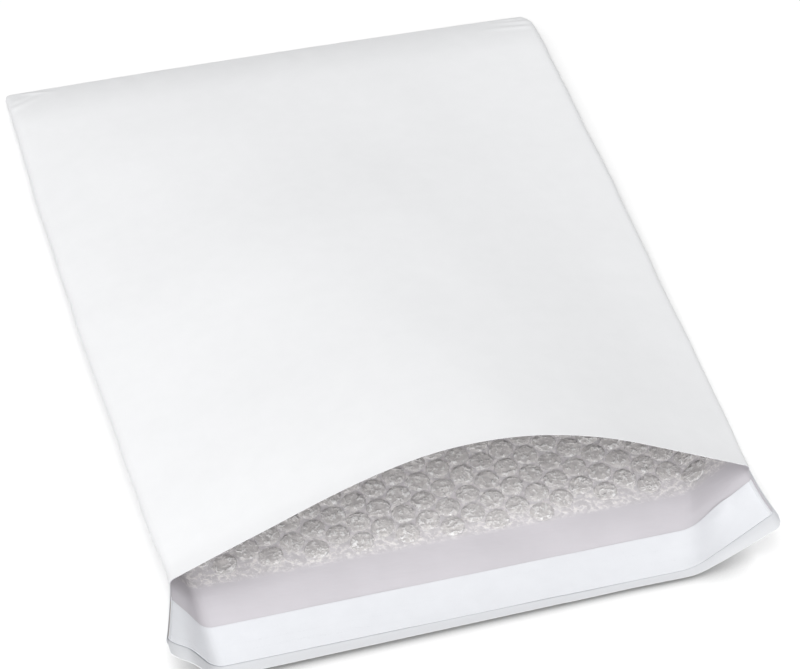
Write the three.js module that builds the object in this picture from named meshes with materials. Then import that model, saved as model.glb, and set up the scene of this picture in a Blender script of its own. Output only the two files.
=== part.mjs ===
// A padded mailing envelope, empty, lying on its back with its mouth arched open.
//
// Frame: millimetres, +Z up. The origin is under the middle of the envelope's box, on the surface
// it lies on. +Y runs from the mouth to the sealed end and X runs across the panels.
//
// Every skin of the envelope follows one loop, the wall of the space inside it: an arched front
// panel, a flat back panel whose sides bend up, and the two side folds where they meet. A skin is
// that loop moved outwards by its own depth, so the skins nest and never touch.

import * as THREE from 'three';

// ---- driving dimensions ----

const PANEL_WIDTH = 229; // fold to fold where the envelope is sealed flat
const PANEL_LENGTH = 297.5; // front panel, mouth edge to the middle of the sealed end
const LIP_LENGTH = 31.5; // back panel past the mouth edge, at its left side
const LIP_SKEW = 4.1; // the lip is this much shorter towards its right side
const LIP_SKEW_END = 0.75; // and no shorter past this share of the width
const PAD = 3.5; // whole wall: paper cover and bubble lining
const SEAM_HALF = 1.25; // half the thickness at the sealed end
const SEAM_DEPTH = 4; // closed strip of the cover at the sealed end
const SEAM_EASE = 12; // over this length the padding thins towards the seam
const END_BOW = 1.2; // the sealed end's middle stands this far past its corners
const END_BOW_FADE = 60; // and the bow dies away over this length

const COVER_THICKNESS = 0.35;
const FILM_THICKNESS = 0.35; // smooth margin of the lining, on the lip
const SKIN_GAP = 0.3; // kept between one skin and the next
const CAVITY_HALF_GAP = 0.15; // the two linings never quite meet at the sealed end

const ARCH_HEIGHT = 35.1; // cavity over the side folds, at the mouth
const ARCH_COSINE = 0.87; // share of the arch that is a plain cosine; the rest is a raised one
const ARCH_LEAN = 0.033; // the arch's top stands this share of its half width to the right
const ARCH_SETBACK = 2.3; // an arched mouth edge draws back this far at its top
const ARCH_FADE = 1.15; // how the arch dies away towards the sealed end
const RISE_FADE = 1.5; // the same for the lift of the side folds
const NARROWING_FADE = 1.6; // the same for the drawing in of the side folds

// Each side fold at the mouth: how far it is drawn in and lifted and the run of the wall that rises
// to it; how much longer that run is at the mouth alone; how fold, rise and run grow on the lip;
// and how far in and how far along its corner of the sealed end is rounded off.
const LEFT = {
  sign: -1,
  narrowing: 10.65,
  rise: 12.5,
  run: 7.2,
  mouthRun: 0,
  flare: 8.5,
  lipRise: 2.5,
  lipRun: 8.5,
  cornerIn: 2.4,
  cornerAlong: 4,
};
const RIGHT = {
  sign: 1,
  narrowing: 10.7,
  rise: 14,
  run: 10,
  mouthRun: 7.3,
  flare: 0.8,
  lipRise: 2.5,
  lipRun: 12,
  cornerIn: 4.5,
  cornerAlong: 9,
};
const MOUTH_RUN_FADE = 8;
const FLARE_START = 8; // folds and walls start to spread this far inside the mouth edge
const FLARE_POWER = 1.5;
const CREASE_SOFTNESS = 0.12; // share of the wall's run that is rounded, each side of its crease

const BUBBLE_EDGE = 7.5; // bubbles on the back panel start this far inside the mouth edge
const BUBBLE_EDGE_EASE = 3;
const LINING_SETBACK = 2.5; // lining's edge behind the front panel's edge
const LINING_LIP_SETBACK = 1; // lining's edge behind the lip's edge
const LINING_END_GAP = 7; // lining's end short of the sealed end
const LINING_END_WALL = 0.5; // it is closed by this much

const LINER_FROM = 9; // release liner's inner edge, past the mouth edge, at the left side
const LINER_SKEW = 2.6; // it is this much nearer at the right side
const LINER_WIDTH = 18;
const LINER_THICKNESS = 0.3;
const ADHESIVE_INSET = 1.2; // the adhesive is this much narrower than its liner, each edge
const ADHESIVE_THICKNESS = 0.25;

// ---- how finely the skins are divided ----

const TOP_STEPS = 24;
const TOP_CROWDING = 0.35; // how much the steps crowd towards the folds
const FOLD_STEPS = 6;
const WALL_STEPS = 6;
const FLAT_STEPS = 10;
const FRONT_ZONE = 16; // rows bend to each skin's own mouth edge over this depth
const FRONT_ROWS = [0, 0.13, 0.26, 0.39, 0.52, 0.62, 0.7, 0.76, 0.8, 0.84, 0.88, 0.93];
const BODY_ROWS = 10;
const END_ROWS = [30, 22, 17, 13.5, 10.5]; // distances from the sealed end
const LAST_ROW = 1.5; // last row short of a skin's own end

// ---- places worked out from them ----

const Y_CLOSED = (PANEL_LENGTH + LIP_LENGTH) / 2;
const Y_MOUTH = Y_CLOSED - PANEL_LENGTH;
const HALF_WIDTH = PANEL_WIDTH / 2;

const clamp01 = (value) => Math.min(1, Math.max(0, value));
const mix = (from, to, share) => from + (to - from) * share;

function smoothstep(value) {
  const t = clamp01(value);
  return t * t * (3 - 2 * t);
}

// 1 at the mouth edge and on the lip, 0 at the sealed end.
const openness = (y) => clamp01((Y_CLOSED - y) / PANEL_LENGTH);

// 0 well inside the mouth edge, rising to 1 at the end of the lip.
function lipShare(y) {
  return clamp01((Y_MOUTH + FLARE_START - y) / (LIP_LENGTH + FLARE_START)) ** FLARE_POWER;
}

// Wall thickness, cavity to outer face.
function padding(y) {
  return mix(SEAM_HALF, PAD, smoothstep((Y_CLOSED - SEAM_DEPTH - y) / SEAM_EASE));
}

// Where a side fold of the cavity is, how high it stands and the run of the wall that rises to it.
function sideFold(side, y) {
  const open = openness(y);
  const lip = lipShare(y);
  const corner = clamp01((y - Y_CLOSED + side.cornerAlong) / side.cornerAlong);
  const rounding = side.cornerIn * (1 - Math.sqrt(1 - corner * corner));
  const drawnIn = side.narrowing * open ** NARROWING_FADE + rounding;
  const x = HALF_WIDTH - drawnIn + side.flare * lip - padding(y);
  const rise = side.rise * open ** RISE_FADE + side.lipRise * lip;
  const run = side.run + side.mouthRun * open ** MOUTH_RUN_FADE + side.lipRun * lip;
  return { x: side.sign * x, rise, run };
}

// Front panel's height over its folds, for u from -1 to 1 across it, and its slope.
function archShape(u) {
  const turn = (Math.PI / 2) * (u - ARCH_LEAN * (1 - u * u));
  const turnSlope = (Math.PI / 2) * (1 + 2 * ARCH_LEAN * u);
  const raised = (1 - ARCH_COSINE) / 2;
  const height = ARCH_COSINE * Math.cos(turn) + raised * (1 + Math.cos(2 * turn));
  const fall = ARCH_COSINE * Math.sin(turn) + 2 * raised * Math.sin(2 * turn);
  return { height, slope: -fall * turnSlope };
}

// Height and slope of a rising wall: 0 on the flat, 1 at the fold, with a rounded crease at 0.
function wallShape(q) {
  const soft = CREASE_SOFTNESS;
  if (q <= -soft) return { height: 0, slope: 0 };
  if (q >= soft) return { height: q, slope: 1 };
  return { height: (q + soft) ** 2 / (4 * soft), slope: (q + soft) / (2 * soft) };
}

// ---- stations: the places round the loop, from the left fold over the front panel, down the
// right fold, back along the back panel and up to the left fold ----

function topPlace(u, y) {
  const left = sideFold(LEFT, y);
  const right = sideFold(RIGHT, y);
  const share = (u + 1) / 2;
  const arch = archShape(u);
  const height = ARCH_HEIGHT * openness(y) ** ARCH_FADE;
  const z = padding(y) + mix(left.rise, right.rise, share) + height * arch.height;
  const span = (right.x - left.x) / 2;
  const slope = (height * arch.slope + (right.rise - left.rise) / 2) / span;
  return { x: mix(left.x, right.x, share), z, angle: Math.PI / 2 + Math.atan(slope) };
}

function wallPlace(side, q, y) {
  const fold = sideFold(side, y);
  const wall = wallShape(q);
  const x = fold.x - side.sign * fold.run * (1 - q);
  const slope = (fold.rise / fold.run) * wall.slope;
  const angle = -Math.PI / 2 + side.sign * Math.atan(slope);
  return { x, z: padding(y) + fold.rise * wall.height, angle };
}

function flatPlace(share, y) {
  const right = wallPlace(RIGHT, -CREASE_SOFTNESS, y);
  const left = wallPlace(LEFT, -CREASE_SOFTNESS, y);
  return { x: mix(right.x, left.x, share), z: padding(y), angle: -Math.PI / 2 };
}

// Round a fold the point stays and only the outward direction turns.
function foldPlace(side, share, y) {
  const top = topPlace(side.sign, y);
  const wall = wallPlace(side, 1, y);
  const topAngle = top.angle;
  const wallAngle = side === RIGHT ? wall.angle : wall.angle + 2 * Math.PI;
  return { x: top.x, z: top.z, angle: mix(topAngle, wallAngle, share) };
}

const stations = [];

const addStation = (onLip, place, more) => stations.push({ onLip, place, ...more });

function addFoldStation(side, share) {
  addStation(share >= 0.5, (y) => foldPlace(side, share, y), { atFold: true, u: side.sign });
}

function addWallStation(side, step) {
  const q = mix(1, -CREASE_SOFTNESS, step / WALL_STEPS);
  addStation(true, (y) => wallPlace(side, q, y));
}

for (let i = 0; i <= TOP_STEPS; i += 1) {
  const even = (2 * i) / TOP_STEPS - 1;
  const crowded = -Math.cos((Math.PI * i) / TOP_STEPS);
  const u = mix(even, crowded, TOP_CROWDING);
  addStation(false, (y) => topPlace(u, y), { u });
}
for (let i = 1; i < FOLD_STEPS; i += 1) addFoldStation(RIGHT, i / FOLD_STEPS);
const firstWall = stations.length;
for (let i = 0; i <= WALL_STEPS; i += 1) addWallStation(RIGHT, i);
for (let i = 1; i < FLAT_STEPS; i += 1) addStation(true, (y) => flatPlace(i / FLAT_STEPS, y));
for (let i = WALL_STEPS; i >= 0; i -= 1) addWallStation(LEFT, i);
const lastWall = stations.length - 1;
for (let i = FOLD_STEPS - 1; i > 0; i -= 1) addFoldStation(LEFT, i / FOLD_STEPS);

// A point of a skin: the loop's place at this station, moved out by depth. Near the sealed end the
// sides lag behind the middle, as the square of the distance from it.
function skinPoint(station, y, depth) {
  const { x, z, angle } = station.place(y);
  const nearEnd = smoothstep((y - Y_CLOSED + END_BOW_FADE) / END_BOW_FADE);
  const lag = END_BOW * nearEnd * (x / HALF_WIDTH) ** 2;
  return [x + depth * Math.cos(angle), y - lag, z + depth * Math.sin(angle)];
}

// 0 at the left side of the panel, 1 at its right side.
const shareAcross = (station) => clamp01(0.5 + station.place(Y_MOUTH).x / PANEL_WIDTH);

// The lip's end, a little skewed across the envelope.
function lipEnd(station) {
  const across = shareAcross(station);
  return Y_MOUTH - LIP_LENGTH + LIP_SKEW * clamp01(across / LIP_SKEW_END);
}

const mouthEdge = (station) => Y_MOUTH + ARCH_SETBACK * archShape(station.u).height ** 2;

// ---- meshes ----

function makeMesh(name, rows, faces, colour, roughness) {
  const geometry = new THREE.BufferGeometry();
  geometry.setAttribute('position', new THREE.Float32BufferAttribute(rows.flat(), 3));
  geometry.setIndex(faces);
  geometry.computeVertexNormals();
  const material = new THREE.MeshStandardMaterial({ color: colour, roughness, metalness: 0 });
  const mesh = new THREE.Mesh(geometry, material);
  mesh.name = name;
  return mesh;
}

// A bag: an outer and an inner skin, joined round the mouth and each closed at the far end.
// edge(station) is a skin's first y, outerEnd and innerEnd the skins' last, and outer(station, y)
// and inner(station, y) their depths.
function makeBag({ name, edge, outerEnd, innerEnd, outer, inner, colour, roughness }) {
  const around = stations.length;
  const points = [];
  const faces = [];
  const zoneEnd = Y_MOUTH + FRONT_ZONE;

  const rowPlaces = (station, end) => {
    const front = FRONT_ROWS.map((share) => mix(edge(station), zoneEnd, share));
    const last = END_ROWS.map((back) => Y_CLOSED - back);
    const body = [];
    for (let i = 0; i < BODY_ROWS; i += 1) body.push(mix(zoneEnd, last[0], i / BODY_ROWS));
    return [...front, ...body, ...last, end - LAST_ROW, end];
  };
  const rowCount = FRONT_ROWS.length + BODY_ROWS + END_ROWS.length + 2;

  const addSkin = (depth, end) => {
    const first = points.length;
    for (let row = 0; row < rowCount; row += 1) {
      for (const station of stations) {
        const y = rowPlaces(station, end)[row];
        points.push(skinPoint(station, y, depth(station, y)));
      }
    }
    return (row, column) => first + row * around + (column % around);
  };
  const addFace = (a, b, c, d) => faces.push(a, b, c, a, c, d);

  const outside = addSkin(outer, outerEnd);
  const inside = addSkin(inner, innerEnd);
  for (let column = 0; column < around; column += 1) {
    for (let row = 0; row + 1 < rowCount; row += 1) {
      const next = column + 1;
      const far = row + 1;
      addFace(outside(row, column), outside(row, next), outside(far, next), outside(far, column));
      addFace(inside(row, column), inside(far, column), inside(far, next), inside(row, next));
    }
    addFace(outside(0, column + 1), outside(0, column), inside(0, column), inside(0, column + 1));
  }
  closeEnd(points, faces, outside(rowCount - 1, 0), true);
  closeEnd(points, faces, inside(rowCount - 1, 0), false);
  return makeMesh(name, points, faces, colour, roughness);
}

// Fills the flat ring of points that starts at first, facing +Y or -Y.
function closeEnd(points, faces, first, facesBack) {
  const ring = stations.map((_, i) => points[first + i]);
  const outline = ring.map(([x, , z]) => new THREE.Vector2(x, z));
  for (const [a, b, c] of THREE.ShapeUtils.triangulateShape(outline, [])) {
    const ab = outline[b].clone().sub(outline[a]);
    const ac = outline[c].clone().sub(outline[a]);
    const turnsLeft = ab.cross(ac) > 0;
    if (turnsLeft === facesBack) faces.push(first + a, first + c, first + b);
    else faces.push(first + a, first + b, first + c);
  }
}

// A band laid across the lip, on both walls and just round their folds. It starts at from, past the
// mouth edge, and runs a little skewed. trim is the share of its last step left off at each end.
function makeBand({ name, from, width, depth, thickness, trim, colour, roughness }) {
  const across = stations.slice(firstWall - 1, lastWall + 2);
  const rowShares = [1, 0.5, 0];
  const rowPlace = (station, share) =>
    Y_MOUTH - from - width * share + LINER_SKEW * shareAcross(station);
  const points = [];
  const faces = [];
  const columns = across.length;
  const addSkin = (skinDepth) => {
    const first = points.length;
    for (const share of rowShares) {
      across.forEach((station, i) => {
        const y = rowPlace(station, share);
        const whole = skinPoint(station, y, skinDepth);
        const inner = across[Math.min(Math.max(i, 1), columns - 2)];
        const nearer = skinPoint(inner, rowPlace(inner, share), skinDepth);
        points.push(whole.map((value, axis) => mix(value, nearer[axis], trim)));
      });
    }
    return (row, column) => first + row * columns + column;
  };
  const addFace = (a, b, c, d) => faces.push(a, b, c, a, c, d);
  const under = addSkin(depth);
  const over = addSkin(depth - thickness);
  const lastRow = rowShares.length - 1;
  const lastColumn = columns - 1;
  for (let column = 0; column < lastColumn; column += 1) {
    const next = column + 1;
    for (let row = 0; row < lastRow; row += 1) {
      const far = row + 1;
      addFace(under(row, column), under(row, next), under(far, next), under(far, column));
      addFace(over(row, column), over(far, column), over(far, next), over(row, next));
    }
    addFace(under(0, next), under(0, column), over(0, column), over(0, next));
    addFace(under(lastRow, column), under(lastRow, next), over(lastRow, next), over(lastRow, column));
  }
  for (let row = 0; row < lastRow; row += 1) {
    const far = row + 1;
    addFace(under(row, 0), under(far, 0), over(far, 0), over(row, 0));
    addFace(under(far, lastColumn), under(row, lastColumn), over(row, lastColumn), over(far, lastColumn));
  }
  return makeMesh(name, points, faces, colour, roughness);
}

// ---- the four pieces ----

// White paper, folded at both sides and sealed across the far end, with the back panel's lip.
function makeOuterCover() {
  return makeBag({
    name: 'outer_cover',
    edge: (station) => (station.onLip ? lipEnd(station) : mouthEdge(station)),
    outerEnd: Y_CLOSED,
    innerEnd: Y_CLOSED - SEAM_DEPTH,
    outer: (station, y) => padding(y),
    inner: (station, y) => padding(y) - COVER_THICKNESS,
    colour: 0xf1f2f4,
    roughness: 0.75,
  });
}

// Bubble film: full depth where it has bubbles, and a smooth thin margin on the lip.
function makeBubbleLining() {
  const backOff = COVER_THICKNESS + SKIN_GAP;
  const margin = (station, y) => {
    const start = Y_MOUTH + BUBBLE_EDGE;
    return station.onLip ? smoothstep((start - y) / BUBBLE_EDGE_EASE + 0.5) : 0;
  };
  const edge = (station) => {
    if (station.atFold) return station.onLip ? lipEnd(station) : mouthEdge(station);
    if (station.onLip) return lipEnd(station) + LINING_LIP_SETBACK;
    return mouthEdge(station) + LINING_SETBACK * archShape(station.u).height;
  };
  return makeBag({
    name: 'bubble_lining',
    edge,
    outerEnd: Y_CLOSED - LINING_END_GAP,
    innerEnd: Y_CLOSED - LINING_END_GAP - LINING_END_WALL,
    outer: (station, y) => padding(y) - backOff,
    inner: (station, y) =>
      mix(CAVITY_HALF_GAP, padding(y) - backOff - FILM_THICKNESS, margin(station, y)),
    colour: 0xb9b6b8,
    roughness: 0.3,
  });
}

const ADHESIVE_DEPTH = PAD - COVER_THICKNESS - FILM_THICKNESS - 2 * SKIN_GAP;
const LINER_DEPTH = ADHESIVE_DEPTH - ADHESIVE_THICKNESS - SKIN_GAP;

// Pressure-sensitive adhesive across the lip.
function makeAdhesiveStrip() {
  return makeBand({
    name: 'adhesive_strip',
    from: LINER_FROM + ADHESIVE_INSET,
    width: LINER_WIDTH - 2 * ADHESIVE_INSET,
    depth: ADHESIVE_DEPTH,
    thickness: ADHESIVE_THICKNESS,
    trim: 0.5,
    colour: 0xe6e2d4,
    roughness: 0.3,
  });
}

// Peel-off paper that covers the adhesive.
function makeReleaseLiner() {
  return makeBand({
    name: 'release_liner',
    from: LINER_FROM,
    width: LINER_WIDTH,
    depth: LINER_DEPTH,
    thickness: LINER_THICKNESS,
    trim: 0,
    colour: 0xeceff5,
    roughness: 0.45,
  });
}

const envelope = new THREE.Group();
envelope.add(makeOuterCover(), makeBubbleLining(), makeAdhesiveStrip(), makeReleaseLiner());

export default envelope;
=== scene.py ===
"""Padded mailing envelope, empty, lying on its back with its mouth arched open.

Every skin of the envelope follows one loop, the wall of the space inside it: an arched front panel, a
flat back panel whose sides bend up, and the two side folds where they meet. A skin is that loop moved
outwards by its own depth. Lengths are metres, +Z is up and +Y runs from the mouth to the sealed end.
"""

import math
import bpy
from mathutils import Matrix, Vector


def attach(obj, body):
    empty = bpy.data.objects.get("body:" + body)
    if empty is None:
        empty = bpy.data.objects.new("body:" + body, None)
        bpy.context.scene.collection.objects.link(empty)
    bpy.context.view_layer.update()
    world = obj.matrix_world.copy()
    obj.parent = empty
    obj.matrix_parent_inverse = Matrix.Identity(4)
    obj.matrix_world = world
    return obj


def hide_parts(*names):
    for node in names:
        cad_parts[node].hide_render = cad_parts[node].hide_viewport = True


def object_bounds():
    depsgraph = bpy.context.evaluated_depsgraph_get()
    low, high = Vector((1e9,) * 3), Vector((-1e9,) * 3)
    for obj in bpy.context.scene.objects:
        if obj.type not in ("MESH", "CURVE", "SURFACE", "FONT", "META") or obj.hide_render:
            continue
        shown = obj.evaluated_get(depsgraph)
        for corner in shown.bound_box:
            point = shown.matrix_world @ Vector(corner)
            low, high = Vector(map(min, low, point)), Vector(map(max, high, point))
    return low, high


bl_info = {
    "name": "Padded Envelope",
    "version": (1, 0, 0),
    "blender": (4, 5, 0),
    "location": "View3D > Sidebar > Envelope",
    "description": "Paper cover, bubble lining and closing strip of a padded envelope",
    "category": "Add Mesh",
}

import bpy
import numpy as np
from bpy.props import FloatProperty, FloatVectorProperty, PointerProperty
from mathutils import Matrix, Vector

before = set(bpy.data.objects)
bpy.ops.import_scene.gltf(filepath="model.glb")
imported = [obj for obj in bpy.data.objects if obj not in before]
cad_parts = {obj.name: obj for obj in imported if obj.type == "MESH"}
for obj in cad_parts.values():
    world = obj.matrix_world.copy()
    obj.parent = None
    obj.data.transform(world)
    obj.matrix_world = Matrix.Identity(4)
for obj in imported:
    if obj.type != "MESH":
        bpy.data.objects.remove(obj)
CAD_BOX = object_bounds()

LEFT, RIGHT = 0, 1
SIGNS = (-1.0, 1.0)
MM = 0.001

# places on the loop, as PocketLoop tells them
WALL_FROM = 0.75  # share of the back panel's half, past which its wall rises
BACK_MIDDLE = 2.5
LIP_SPAN = (1.5, 3.5)  # the lip, from the middle of one side fold to the middle of the other
LIP_CORNERS = ((2.93, 3.02), (2.05, 1.50))  # where each of the lip's corners starts and ends
LIP_FILM_SPAN = (1.62, 3.40)
ADHESIVE_SPAN = (1.85, 3.30)
LINER_SPAN = (1.72, 3.46)

# creases that fan in from the left and the right sealed corner, in millimetres: how far in from the
# side and down from the end each starts, then how far in and down it ends
CORNER_CREASES = (
    ((4, 9, 13, 3), (2, 15, 16, 6), (9, 3, 20, 5)),
    ((3, 7, 15, 5), (4, 12, 22, 10), (8, 3, 13, 2)),
)

# rows and columns of the skins
PANEL_COLUMNS = 128  # points across each panel
FOLD_COLUMNS = 8  # steps round each fold
MOUTH_ZONE = 0.016  # rows ease from the mouth edge's curve to straight over this length
END_ZONE = 0.030  # rows crowd towards the sealed end over this length


# ---- sizes and colours that a user would change ----


def length(name, description, default):
    """A length property in metres."""
    return FloatProperty(
        name=name, description=description, default=default, min=0, unit="LENGTH", precision=4
    )


def both_sides(name, description, left, right):
    """A pair of lengths: at the left and the right side fold, or a width and a length."""
    return FloatVectorProperty(
        name=name, description=description, default=(left, right), size=2, min=0, unit="LENGTH", precision=4
    )


def colour(name, description, default):
    """A linear colour property."""
    return FloatVectorProperty(
        name=name, description=description, default=default, size=3, min=0, max=1, subtype="COLOR"
    )


def share(name, description, default):
    """A plain number property."""
    return FloatProperty(name=name, description=description, default=default, min=0)


def point(name, description, default):
    """A place in metres."""
    return FloatVectorProperty(name=name, description=description, default=default, subtype="TRANSLATION")


def turn(name, description, degrees):
    """An angle property."""
    return FloatProperty(name=name, description=description, default=math.radians(degrees), subtype="ANGLE")


class EnvelopeShape(bpy.types.PropertyGroup):
    """The loop that every skin follows."""

    panel_width: length("Panel width", "Fold to fold where the envelope is sealed flat", 0.229)
    panel_length: length("Panel length", "Front panel, mouth edge to sealed end", 0.2975)
    lip_length: length("Lip length", "Back panel past the mouth edge, at its left side", 0.0329)
    lip_skew: length("Lip skew", "How much shorter the lip is towards its right side", 0.0041)
    lip_skew_end: share("Lip skew end", "Share of the width past which it is no shorter", 0.75)
    lip_margin: both_sides("Lip margin", "Start of its free margin, past the mouth edge", 0.0275, 0.0253)
    lip_lift: length("Lip lift", "How far the lip's end stands off the floor", 0.0026)
    lip_corner: both_sides("Lip corner", "How far the lip's corners are rounded off", 0.0062, 0.0035)
    pad: length("Wall", "Whole wall, paper cover and bubble lining", 0.0035)
    seam_half: length("Sealed half", "Half the thickness at the sealed end", 0.00125)
    seam_depth: length("Sealed strip", "Closed strip of the cover at the sealed end", 0.004)
    seam_ease: length("Sealed ease", "Length over which the padding thins towards the seam", 0.030)
    end_bow: length("End bow", "How far the sealed end's middle stands past its corners", 0.0012)
    end_bow_fade: length("End bow fade", "Length over which the bow dies away", 0.060)
    corner_in: both_sides("Corner in", "How far in each sealed corner is rounded off", 0.0012, 0.0045)
    corner_along: both_sides("Corner along", "How far along the side it is rounded off", 0.0032, 0.0090)
    arch_height: length("Arch height", "Opening over the side folds, at the mouth", 0.0351)
    arch_cosine: share("Arch cosine", "Share of the arch that is a plain cosine", 0.87)
    arch_lean: share("Arch lean", "How far right the arch's top stands, of its half width", 0.033)
    arch_setback: length("Arch setback", "How far the arched mouth edge draws back at its top", 0.0023)
    arch_fade: share("Arch fade", "How the arch dies away towards the sealed end", 1.15)
    rise_fade: share("Rise fade", "How the lift of the side folds dies away", 1.5)
    narrowing_fade: share("Narrowing fade", "How the drawing in of the side folds dies away", 1.6)
    narrowing: both_sides("Narrowing", "How far each fold is drawn in at the mouth", 0.01065, 0.0107)
    rise: both_sides("Rise", "How far each fold is lifted at the mouth", 0.0125, 0.0140)
    run: both_sides("Wall run", "Width of the wall that rises to each fold", 0.0072, 0.0100)
    mouth_run: both_sides("Mouth run", "How much wider that wall is at the mouth", 0.0, 0.0073)
    flare: both_sides("Flare", "How far the lip spreads past each fold", 0.0085, 0.0008)
    lip_bulge: both_sides("Lip bulge", "How far each wall bulges up on the lip, of its rise", 0.19, 0.0)
    lip_rise: both_sides("Lip rise", "How much higher each wall is on the lip", 0.0025, 0.0025)
    lip_run: both_sides("Lip run", "How much wider each wall is on the lip", 0.0085, 0.0120)
    mouth_run_fade: share("Mouth run fade", "How fast the mouth run dies away", 8.0)
    flare_start: length("Flare start", "Where the lip's spread starts, inside the mouth edge", 0.008)
    crease_softness: share("Crease softness", "Rounded share of a wall, each side of its crease", 0.12)


class CoverLook(bpy.types.PropertyGroup):
    """The white paper cover."""

    cut: both_sides("Cut", "Width and length of the flat sheet", 0.476, 0.329)
    cut_area: share("Cut area", "Area of the flat sheet, in square metres", 0.1495)
    thickness: length("Paper", "Thickness of the paper", 0.00020)
    pillow: length("Pillow", "Height of the panel's slow swells", 0.0005)
    pucker: length("Pucker", "Height of the puckers that the seal draws in", 0.00035)
    crumple: length("Crumple", "Height of the creases at the sealed corners", 0.0005)
    wander: length("Edge wander", "How far the folded edges stray from straight", 0.00030)
    curl: both_sides("Margin curl", "How far the lip's margin droops on each wall", 0.0008, 0.0009)
    lap: length("Lap", "Step where the paper's two edges are lapped and glued", 0.00012)
    lap_place: share("Lap place", "Where the lap runs, from the middle to the right fold", 0.34)
    paper: colour("Paper", "White of the paper", (0.745, 0.75, 0.76))
    # the inner face is greyer: partly the paper's own inner face, and on the lip's drooping margin, where
    # it shows, this grey is also painted shade
    inside: colour("Paper inside", "Greyer inner face of the paper", (0.66, 0.67, 0.69))
    worn: colour("Handled", "Tone of the handling marks", (0.66, 0.66, 0.67))


class LiningLook(bpy.types.PropertyGroup):
    """The bubble film."""

    cut: both_sides("Cut", "Width and length of the flat film", 0.452, 0.318)
    cut_area: share("Cut area", "Area of the flat film, in square metres", 0.138)
    gap: length("Gap", "Cover to film", 0.0001)
    film: length("Film", "Thickness of the film", 0.0001)
    setback: length("Setback", "Film's edge behind the front panel's edge", 0.0025)
    end_gap: length("End gap", "Film's end short of the sealed end", 0.007)
    pitch: length("Bubble pitch", "Distance between neighbouring bubbles", 0.00943)
    bubble: length("Bubble width", "Bubble's diameter", 0.0094)
    top_gap: length("Top gap", "Bubble's top short of the middle of the space", 0.00020)
    first_row: length("First row", "Where the bubbles start, inside the mouth edge", 0.0090)
    skew: turn("Web skew", "Turn of the bubble rows", -2)
    tint: colour("Film colour", "Grey of the film", (0.60, 0.58, 0.61))
    # the bubbles' own colour; it and its paler and darker copies also give the painted glints and painted
    # shade of the crinkled film
    bubble_tint: colour("Bubble colour", "Milky tone of the bubbles and folds", (0.97, 0.945, 0.92))


class StripLook(bpy.types.PropertyGroup):
    """The adhesive and the paper that covers it."""

    cut: both_sides("Cut", "Width and length of the flat liner", 0.0187, 0.222)
    start: length("Start", "Inner edge, past the mouth edge, at the left side", 0.0090)
    skew: length("Skew", "How much nearer it is at the right side", 0.0026)
    climb: both_sides("Climb", "How much nearer it runs at each fold", 0.0028, 0.0030)
    width: length("Width", "Release liner's width", 0.0187)
    thickness: length("Liner", "Release liner's thickness", 0.00015)
    adhesive: length("Adhesive", "Adhesive's thickness", 0.00012)
    gap: length("Gap", "Kept between film, adhesive and liner", 0.00005)
    inset: length("Inset", "Adhesive's edge inside the liner's", 0.0012)
    lift: length("Lift", "How far the liner has come away at the right bend", 0.0009)
    liner_tint: colour("Liner colour", "White of the release liner", (0.785, 0.80, 0.83))
    adhesive_tint: colour("Adhesive colour", "Pale amber of the adhesive", (0.72, 0.66, 0.50))


class StageLook(bpy.types.PropertyGroup):
    """Floor, lights and camera."""

    floor: length("Floor", "Side of the floor", 8.0)
    contact: share("Contact shade", "Depth of the shade on the floor close to the envelope", 0.58)
    contact_reach: length("Contact reach", "How far that shade reaches", 0.013)
    floor_tint: colour("Floor colour", "Pale floor", (0.895, 0.895, 0.895))
    key: share("Key light", "Power of the soft light over the mouth, watts", 3.0)
    key_size: length("Key size", "Side of that light", 0.45)
    key_place: point("Key place", "Where it stands", (-0.15, -0.45, 0.85))
    fill: share("Fill light", "Strength of the light from the front", 1.8)
    fill_spread: share("Fill spread", "Angle that it fills, in radians", 0.25)
    fill_place: point("Fill place", "Where it comes from", (-0.25, -0.78, 0.62))
    horizon: share("Horizon", "Strength of the white surround at the horizon", 0.25)
    zenith: share("Zenith", "Strength of the white surround overhead", 0.80)
    lens: FloatProperty(name="Lens", description="Focal length, millimetres", default=117.6, min=10)
    distance: length("Camera distance", "Camera to its target", 0.9934)
    azimuth: turn("Azimuth", "Camera's turn", -15.87)
    elevation: turn("Elevation", "Camera's height", 43.14)
    roll: turn("Roll", "Camera's tilt", 0.96)
    target: point("Target", "Point looked at", (0.00808, -0.01681, 0.0))


# ---- the loop that every skin follows ----


def clamp01(value):
    """Value held between 0 and 1."""
    return np.clip(value, 0.0, 1.0)


def mix(start, end, part):
    """Straight blend from start to end."""
    return start + (end - start) * part


def smoothstep(value):
    """Cubic ease from 0 to 1, flat at both ends."""
    t = clamp01(value)
    return t * t * (3 - 2 * t)


def soft_waves(x, y, seed, longest, shortest, count=7):
    """Sum of cosine waves with seeded headings and phases, longer waves taller, about -1 to 1."""
    draw = np.random.default_rng(seed)
    heading = draw.uniform(0, np.pi, count)
    phase = draw.uniform(0, 2 * np.pi, count)
    reach = np.geomspace(longest, shortest, count)
    along = np.asarray(x)[..., None] * np.cos(heading) + np.asarray(y)[..., None] * np.sin(heading)
    tall = reach / reach.sum()
    return (np.cos(2 * np.pi * along / reach + phase) * tall).sum(-1) * 1.8


def creases(x, y, starts, ends, width):
    """Sum of ridges along straight segments: a bell of the distance to each segment, over width."""
    start = np.asarray(starts)
    run = np.asarray(ends) - start
    dx = x[..., None] - start[:, 0]
    dy = y[..., None] - start[:, 1]
    along = clamp01((dx * run[:, 0] + dy * run[:, 1]) / (run**2).sum(1))
    off = np.hypot(dx - along * run[:, 0], dy - along * run[:, 1])
    taper = 1 - 0.7 * along
    return (np.exp(-((off / width) ** 2)) * taper).sum(-1)


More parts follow.
